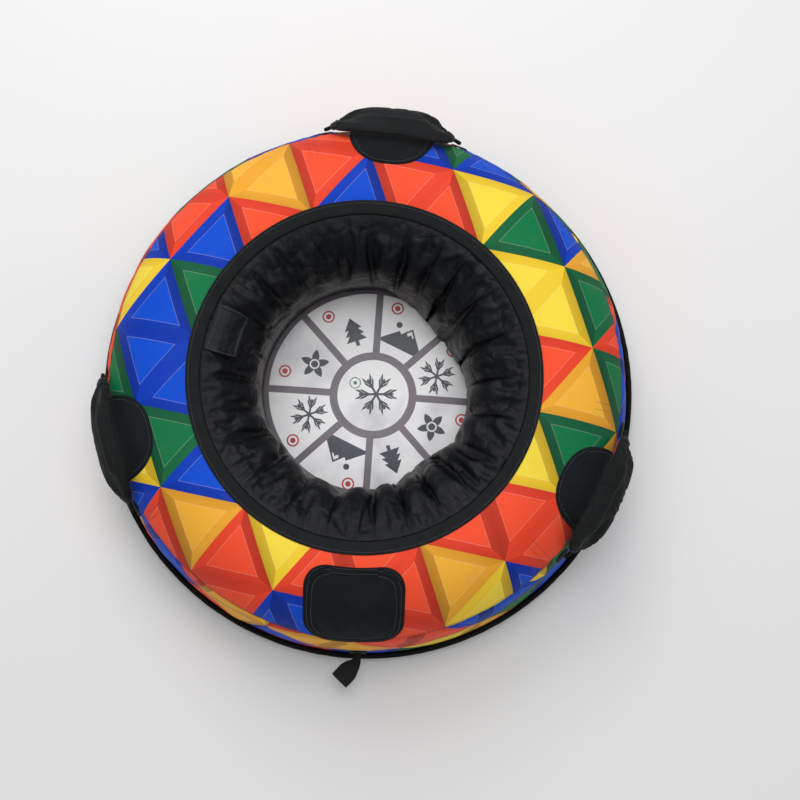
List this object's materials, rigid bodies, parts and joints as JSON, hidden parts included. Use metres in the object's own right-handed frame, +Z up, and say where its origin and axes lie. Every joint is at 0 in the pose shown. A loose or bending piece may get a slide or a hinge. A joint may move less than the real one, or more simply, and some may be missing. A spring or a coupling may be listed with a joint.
{
  "type": "dry slide tube",
  "caption": "Air-filled padded ring in a sewn cloth cover on a hard sliding base, with a padded seat well, strap handles, a valve flap and a tow loop.",
  "frame": {"origin": "centre of the base's flat underside", "axes": "+Z up along the ring's axis, -Y towards the tow loop and front pad, +Y towards the top handle, +X to the rider's right when facing the tow loop's far side"},
  "size_m": [1, 1.0504, 0.2785],
  "materials": {
    "tube_rubber": "matt black rubber",
    "valve_brass": "plain brass",
    "cap_plastic": "moulded black",
    "base_plastic": "scuffed black polyethylene",
    "cover_cloth": null,
    "seat_cloth": "satin printed cloth",
    "sleeve_cloth": "gathered black nylon",
    "pad_cloth": "heavy black woven cloth",
    "webbing": "black woven webbing",
    "foam": "grey closed-cell foam"
  },
  "bodies": {
    "ring": {"slide_base": "base_plastic", "rim_binding": "webbing", "inner_tube": "tube_rubber", "valve_stem": "tube_rubber", "valve_core": "valve_brass", "top_cover": "cover_cloth", "side_band": "cover_cloth", "mouth_ring": "webbing", "seat_sleeve": "sleeve_cloth", "seat_foam": "foam", "seat_panel": "seat_cloth", "front_pad": "pad_cloth", "front_pad_foam": "foam", "tow_anchor": "webbing", "knuckle_guard_top": "pad_cloth", "strap_anchor_top_a": "webbing", "strap_anchor_top_b": "webbing", "knuckle_guard_left": "pad_cloth", "strap_anchor_left_a": "webbing", "strap_anchor_left_b": "webbing", "knuckle_guard_right": "pad_cloth", "strap_anchor_right_a": "webbing", "strap_anchor_right_b": "webbing"},
    "handle_top": {"handle_strap_top": "webbing", "grip_cover_top": "pad_cloth", "grip_foam_top": "foam"},
    "handle_left": {"handle_strap_left": "webbing", "grip_cover_left": "pad_cloth", "grip_foam_left": "foam"},
    "handle_right": {"handle_strap_right": "webbing", "grip_cover_right": "pad_cloth", "grip_foam_right": "foam"},
    "flap": {"valve_flap": "sleeve_cloth"},
    "towing_loop": {"tow_loop": "webbing"},
    "dust_cap": {"valve_cap": "cap_plastic"}
  },
  "joints": [
    {"name": "handle_top_swing", "type": "hinge", "parent": "ring", "child": "handle_top", "pos_m": [0.04736, 0.45059, 0.17944], "axis": [-0.9945, 0.1045, 0], "range_deg": [-7, 100]},
    {"name": "handle_left_swing", "type": "hinge", "parent": "ring", "child": "handle_left", "pos_m": [-0.44, -0.10807, 0.17944], "axis": [0.2385, -0.9711, 0], "range_deg": [-7, 104]},
    {"name": "handle_right_swing", "type": "hinge", "parent": "ring", "child": "handle_right", "pos_m": [0.40618, -0.20075, 0.17944], "axis": [0.4431, 0.8965, 0], "range_deg": [-12, 94]},
    {"name": "valve_flap_lift", "type": "hinge", "parent": "ring", "child": "flap", "pos_m": [-0.26614, 0.08648, 0.26119], "axis": [-0.309, -0.9511, 0], "range_deg": [0, 62]},
    {"name": "tow_loop_swing", "type": "hinge", "parent": "ring", "child": "towing_loop", "pos_m": [-0.01721, -0.49281, 0.066], "axis": [0.9994, -0.0349, 0], "range_deg": [-76, 37]},
    {"name": "valve_cap_unscrew", "type": "hinge", "parent": "ring", "child": "dust_cap", "pos_m": [-0.23146, 0.07521, 0.22853], "axis": [0.6725, -0.2185, 0.7071], "range_deg": [0, 720]}
  ]
}
